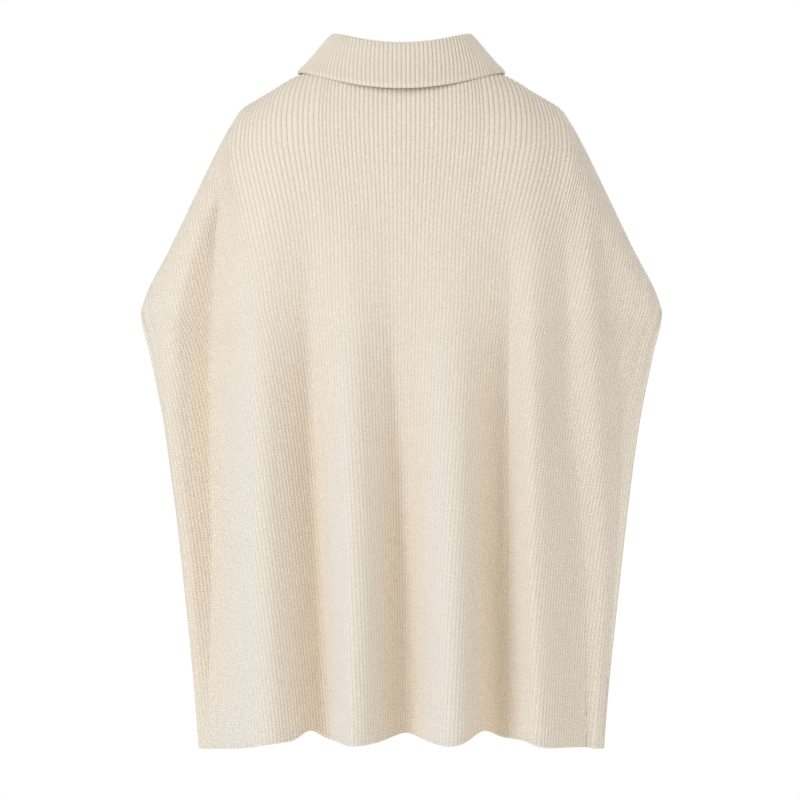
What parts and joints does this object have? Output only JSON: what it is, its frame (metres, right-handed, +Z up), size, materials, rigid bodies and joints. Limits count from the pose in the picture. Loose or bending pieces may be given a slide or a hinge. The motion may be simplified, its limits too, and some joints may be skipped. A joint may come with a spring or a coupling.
{
  "type": "half-zip poncho sweater",
  "caption": "Worn, hollow rib-knit half-zip poncho sweater with a turned-down collar, slanting arm lines, open sides and a hem that hangs in deep waves",
  "frame": {"origin": "the middle of the neck, at the height of the inner shoulders that carry the garment", "axes": "+Z up, the front faces -Y, +X is the wearer's left"},
  "size_m": [0.6028, 0.2366, 0.8221],
  "materials": {
    "knit": "soft matt rib knit, cream",
    "tape": "woven zip tape, cream",
    "metal": "plain satin metal, pale nickel"
  },
  "bodies": {
    "garment": {"back_panel": "knit", "front_panel": "knit", "collar": "knit", "zip_tape_left": "tape", "zip_tape_right": "tape", "zip_slider": "metal", "zip_bottom_stop": "metal"},
    "pull": {"zip_pull": "metal"}
  },
  "joints": [
    {"name": "pull_swing", "type": "hinge", "parent": "garment", "child": "pull", "pos_m": [0, -0.10116, -0.0322], "axis": [-1, 0, 0], "range_deg": [0, 150]}
  ]
}
